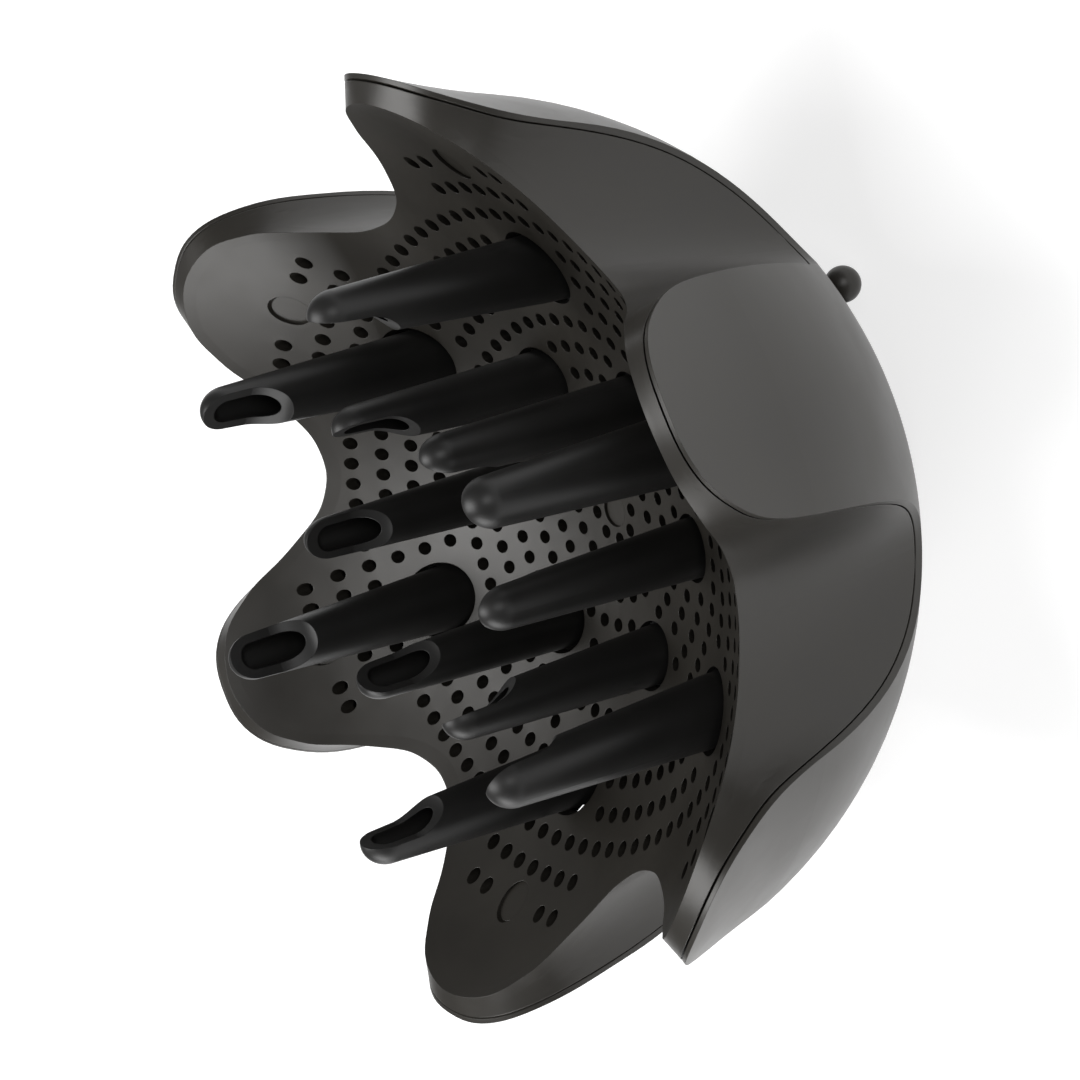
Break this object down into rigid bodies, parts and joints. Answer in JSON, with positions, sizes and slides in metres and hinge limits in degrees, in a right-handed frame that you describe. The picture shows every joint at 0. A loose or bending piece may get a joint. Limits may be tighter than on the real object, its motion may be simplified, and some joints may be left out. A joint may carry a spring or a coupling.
{
  "type": "dryer diffuser",
  "caption": "Round hair-dryer diffuser: a perforated bowl with petal rim and hollow prongs that a rear lever extends or draws in.",
  "frame": {"origin": "centre of the rear rim of the dryer collar, the lowest face", "axes": "+Z along the bowl's axis, out of the bowl; +X through one petal's tip; the bowl faces up"},
  "size_m": [0.148, 0.1358, 0.0916],
  "materials": {
    "shell_plastic": "satin warm graphite",
    "prong_plastic": "satin near-black",
    "inner_plastic": "plain moulded",
    "collar_plastic": "satin",
    "seal_rubber": "matte",
    "steel": "plain"
  },
  "bodies": {
    "shell": {"front_bowl": "shell_plastic", "rear_cover": "shell_plastic", "petal_caps": "shell_plastic", "petal_screws": "steel", "centre_cap": "shell_plastic", "centre_screw": "steel", "guide_posts": "steel", "thrust_washer": "steel", "cam_clip": "steel", "dryer_collar": "collar_plastic", "collar_seal": "seal_rubber"},
    "prong_carriage": {"prong_carrier": "inner_plastic", "follower_pins": "steel", "outer_prong_1": "prong_plastic", "outer_prong_2": "prong_plastic", "outer_prong_3": "prong_plastic", "outer_prong_4": "prong_plastic", "outer_prong_5": "prong_plastic", "outer_prong_6": "prong_plastic", "inner_prong_1": "prong_plastic", "inner_prong_2": "prong_plastic", "inner_prong_3": "prong_plastic", "inner_prong_4": "prong_plastic", "inner_prong_5": "prong_plastic", "inner_prong_6": "prong_plastic"},
    "cam": {"cam_drum": "inner_plastic", "lever_knob": "shell_plastic"}
  },
  "joints": [
    {"name": "cam_turn", "type": "hinge", "parent": "shell", "child": "cam", "pos_m": [0, 0, 0.0152], "axis": [0, 0, 1], "range_deg": [0, 60]},
    {"name": "carriage_slide", "type": "slide", "parent": "shell", "child": "prong_carriage", "axis": [0, 0, 1], "range_m": [-0.014, 0]}
  ],
  "couplings": [
    {"joint": "carriage_slide", "follows": "cam_turn", "m_per_rad": -0.013369}
  ]
}
